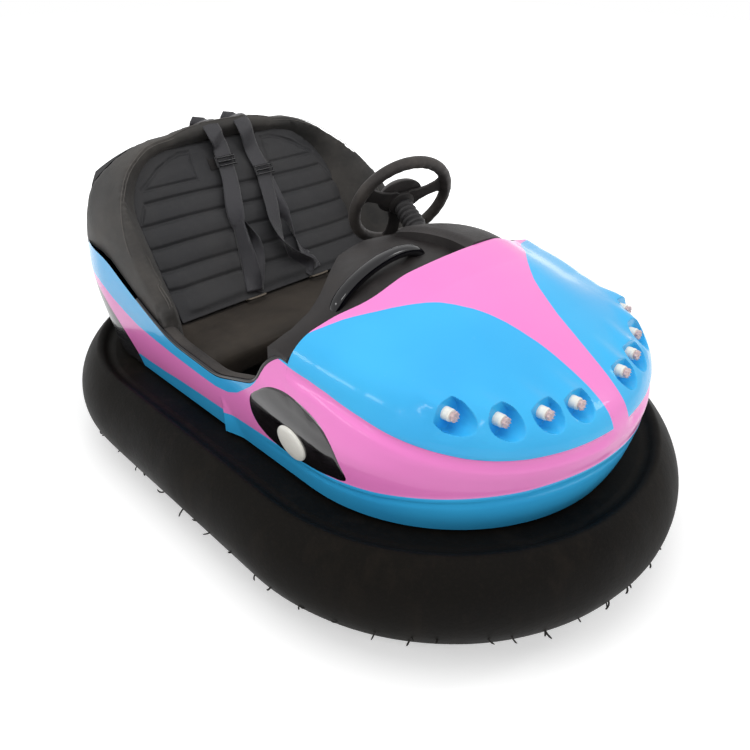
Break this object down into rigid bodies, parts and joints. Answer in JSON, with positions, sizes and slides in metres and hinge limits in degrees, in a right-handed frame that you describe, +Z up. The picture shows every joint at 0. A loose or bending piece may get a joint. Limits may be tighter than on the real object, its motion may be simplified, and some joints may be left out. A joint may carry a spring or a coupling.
{
  "type": "bumper car",
  "caption": "Battery bumper car: an inflated rubber ring round a steel chassis, a rounded glass-fibre body, a padded bench for two, and a steered drive wheel under the nose.",
  "frame": {"origin": "on the floor under the middle of the rubber ring", "axes": "+X to the front, +Y to the driver's left, +Z up"},
  "size_m": [1.9498, 1.298, 0.9135],
  "materials": {
    "tyre": "matte",
    "black_steel": "satin",
    "body_paint": "gloss",
    "dark_panel": "satin",
    "vinyl": "satin",
    "dash_plastic": "satin",
    "gloss_black": "gloss",
    "white_plastic": "gloss",
    "lamp_plastic": "gloss",
    "motif_film": "gloss",
    "webbing": "matte",
    "rubber": "satin",
    "steel": "satin",
    "aluminium": "satin",
    "brass": "satin",
    "battery_case": "matte"
  },
  "bodies": {
    "root": {"bumper_tyre": "tyre", "tyre_valve": "brass", "ring_hoop": "black_steel", "chassis_frame": "black_steel", "tie_down_lugs": "black_steel", "jack_pads": "black_steel", "floor_pan": "black_steel", "deck_ring": "dark_panel", "body_shell": "body_paint", "rear_panel": "dark_panel", "wheel_motifs": "motif_film", "motif_hubs": "white_plastic", "lamp_holders": "white_plastic", "lamp_caps": "lamp_plastic", "cockpit_flange": "vinyl", "cockpit_trim": "gloss_black", "footwell_tub": "dash_plastic", "dash_panel": "dash_plastic", "driver_cowl": "vinyl", "grab_handle": "gloss_black", "accelerator_pedal": "rubber", "seat_back": "vinyl", "seat_surround": "vinyl", "seat_shell": "dark_panel", "seat_base": "black_steel", "seat_cushion": "vinyl", "battery_block": "battery_case", "belt_right": "webbing", "belt_left": "webbing", "belt_sliders": "gloss_black", "belt_anchors": "black_steel", "column_boot": "rubber", "gear_housing": "aluminium", "turntable_bridge": "black_steel", "axle_hangers": "black_steel"},
    "steering": {"steering_wheel": "gloss_black", "steering_grip": "rubber", "horn_pad": "gloss_black", "steering_shaft": "steel"},
    "drive_unit": {"drive_fork": "black_steel", "drive_motor": "aluminium"},
    "drive_wheel": {"drive_tyre": "rubber", "drive_hub": "aluminium"},
    "rear_wheel_left": {"rear_tyre_left": "rubber", "rear_hub_left": "aluminium"},
    "rear_wheel_right": {"rear_tyre_right": "rubber", "rear_hub_right": "aluminium"}
  },
  "joints": [
    {"name": "drive_turn", "type": "hinge", "parent": "root", "child": "drive_unit", "pos_m": [0.5, 0, 0.2], "axis": [0, 0, 1], "continuous": true},
    {"name": "steering_turn", "type": "hinge", "parent": "root", "child": "steering", "pos_m": [-0.022, 0.2, 0.735], "axis": [-0.8531, 0.257, 0.4541], "continuous": true},
    {"name": "drive_spin", "type": "hinge", "parent": "drive_unit", "child": "drive_wheel", "pos_m": [0.5, 0, 0.1], "axis": [0, 1, 0], "continuous": true},
    {"name": "rear_spin_left", "type": "hinge", "parent": "root", "child": "rear_wheel_left", "pos_m": [-0.45, 0.25, 0.08], "axis": [0, 1, 0], "continuous": true},
    {"name": "rear_spin_right", "type": "hinge", "parent": "root", "child": "rear_wheel_right", "pos_m": [-0.45, -0.25, 0.08], "axis": [0, 1, 0], "continuous": true}
  ],
  "couplings": [
    {"joint": "steering_turn", "follows": "drive_turn", "ratio": 1}
  ]
}
